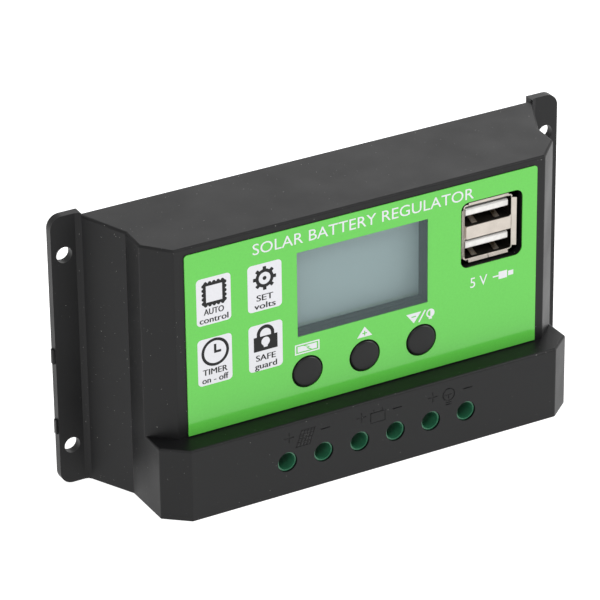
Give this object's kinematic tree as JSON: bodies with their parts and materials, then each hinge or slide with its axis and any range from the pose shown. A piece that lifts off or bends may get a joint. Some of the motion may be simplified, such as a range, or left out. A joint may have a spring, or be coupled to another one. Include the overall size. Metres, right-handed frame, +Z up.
{
  "type": "solar charge controller",
  "caption": "Wall-mounted black moulded charge controller with a green label, display, stacked USB sockets, round keys and a raised hood over screw terminals.",
  "frame": {"origin": "middle of the four wall holes, on the plane of the wall behind the part", "axes": "+X to the right of someone facing the label, +Y into the wall, +Z up; the label faces -Y"},
  "size_m": [0.1339, 0.0319, 0.068],
  "materials": {
    "case_abs": "fine spark-eroded grain",
    "label_film": "printed satin film",
    "clear_film": "clear",
    "display_glass": "satin polariser",
    "light_panel": "milky",
    "tinned_steel": "tinned",
    "board_laminate": "solder mask",
    "zinc_steel": "zinc plated",
    "socket_nickel": "nickel plated",
    "white_nylon": "moulded",
    "key_rubber": "smooth",
    "switch_plastic": "moulded",
    "terminal_plastic": "moulded",
    "component_epoxy": "moulded",
    "can_aluminium": "satin",
    "thermal_silicone": "matt",
    "plate_aluminium": "rolled"
  },
  "bodies": {
    "case": {"front_shell": "case_abs", "back_cover": "case_abs", "cover_screws": "zinc_steel", "front_label": "label_film", "lcd_window": "clear_film", "lcd_glass": "display_glass", "lcd_backlight": "light_panel", "lcd_frame": "switch_plastic", "lcd_pins": "tinned_steel", "circuit_board": "board_laminate", "board_screws": "zinc_steel", "electrolytic_capacitors": "can_aluminium", "microcontroller": "component_epoxy", "buck_regulator": "component_epoxy", "power_inductor": "component_epoxy", "rectifier_diodes": "component_epoxy", "shunt_resistor": "can_aluminium", "crystal": "can_aluminium", "chip_components": "component_epoxy", "mosfets": "component_epoxy", "thermal_pad": "thermal_silicone", "heat_spreader": "plate_aluminium", "usb_shell": "socket_nickel", "usb_tongues": "white_nylon", "usb_contacts": "tinned_steel", "switch_bodies": "switch_plastic", "terminal_block": "terminal_plastic", "terminal_contacts": "tinned_steel"},
    "key_left": {"button_cap_left": "key_rubber", "switch_plunger_left": "switch_plastic"},
    "key_middle": {"button_cap_middle": "key_rubber", "switch_plunger_middle": "switch_plastic"},
    "key_right": {"button_cap_right": "key_rubber", "switch_plunger_right": "switch_plastic"},
    "screw_1": {"terminal_screw_1": "zinc_steel"},
    "cage_1": {"clamp_cage_1": "zinc_steel"},
    "screw_2": {"terminal_screw_2": "zinc_steel"},
    "cage_2": {"clamp_cage_2": "zinc_steel"},
    "screw_3": {"terminal_screw_3": "zinc_steel"},
    "cage_3": {"clamp_cage_3": "zinc_steel"},
    "screw_4": {"terminal_screw_4": "zinc_steel"},
    "cage_4": {"clamp_cage_4": "zinc_steel"},
    "screw_5": {"terminal_screw_5": "zinc_steel"},
    "cage_5": {"clamp_cage_5": "zinc_steel"},
    "screw_6": {"terminal_screw_6": "zinc_steel"},
    "cage_6": {"clamp_cage_6": "zinc_steel"}
  },
  "joints": [
    {"name": "key_left_press", "type": "slide", "parent": "case", "child": "key_left", "axis": [0, 1, 0], "range_m": [0, 0.0003], "stiffness_N_per_m": 2000, "springref_m": -0.0005},
    {"name": "key_middle_press", "type": "slide", "parent": "case", "child": "key_middle", "axis": [0, 1, 0], "range_m": [0, 0.0003], "stiffness_N_per_m": 2000, "springref_m": -0.0005},
    {"name": "key_right_press", "type": "slide", "parent": "case", "child": "key_right", "axis": [0, 1, 0], "range_m": [0, 0.0003], "stiffness_N_per_m": 2000, "springref_m": -0.0005},
    {"name": "screw_1_turn", "type": "hinge", "parent": "case", "child": "screw_1", "pos_m": [-0.02375, -0.0236, -0.0257], "axis": [0, 1, 0], "range_deg": [0, 1800]},
    {"name": "cage_1_lift", "type": "slide", "parent": "case", "child": "cage_1", "axis": [0, -1, 0], "range_m": [0, 0.0025]},
    {"name": "screw_2_turn", "type": "hinge", "parent": "case", "child": "screw_2", "pos_m": [-0.01425, -0.0236, -0.0257], "axis": [0, 1, 0], "range_deg": [0, 1800]},
    {"name": "cage_2_lift", "type": "slide", "parent": "case", "child": "cage_2", "axis": [0, -1, 0], "range_m": [0, 0.0025]},
    {"name": "screw_3_turn", "type": "hinge", "parent": "case", "child": "screw_3", "pos_m": [-0.00475, -0.0236, -0.0257], "axis": [0, 1, 0], "range_deg": [0, 1800]},
    {"name": "cage_3_lift", "type": "slide", "parent": "case", "child": "cage_3", "axis": [0, -1, 0], "range_m": [0, 0.0025]},
    {"name": "screw_4_turn", "type": "hinge", "parent": "case", "child": "screw_4", "pos_m": [0.00475, -0.0236, -0.0257], "axis": [0, 1, 0], "range_deg": [0, 1800]},
    {"name": "cage_4_lift", "type": "slide", "parent": "case", "child": "cage_4", "axis": [0, -1, 0], "range_m": [0, 0.0025]},
    {"name": "screw_5_turn", "type": "hinge", "parent": "case", "child": "screw_5", "pos_m": [0.01425, -0.0236, -0.0257], "axis": [0, 1, 0], "range_deg": [0, 1800]},
    {"name": "cage_5_lift", "type": "slide", "parent": "case", "child": "cage_5", "axis": [0, -1, 0], "range_m": [0, 0.0025]},
    {"name": "screw_6_turn", "type": "hinge", "parent": "case", "child": "screw_6", "pos_m": [0.02375, -0.0236, -0.0257], "axis": [0, 1, 0], "range_deg": [0, 1800]},
    {"name": "cage_6_lift", "type": "slide", "parent": "case", "child": "cage_6", "axis": [0, -1, 0], "range_m": [0, 0.0025]}
  ],
  "couplings": [
    {"joint": "screw_1_turn", "follows": "cage_1_lift", "rad_per_m": 12566},
    {"joint": "screw_2_turn", "follows": "cage_2_lift", "rad_per_m": 12566},
    {"joint": "screw_3_turn", "follows": "cage_3_lift", "rad_per_m": 12566},
    {"joint": "screw_4_turn", "follows": "cage_4_lift", "rad_per_m": 12566},
    {"joint": "screw_5_turn", "follows": "cage_5_lift", "rad_per_m": 12566},
    {"joint": "screw_6_turn", "follows": "cage_6_lift", "rad_per_m": 12566}
  ]
}
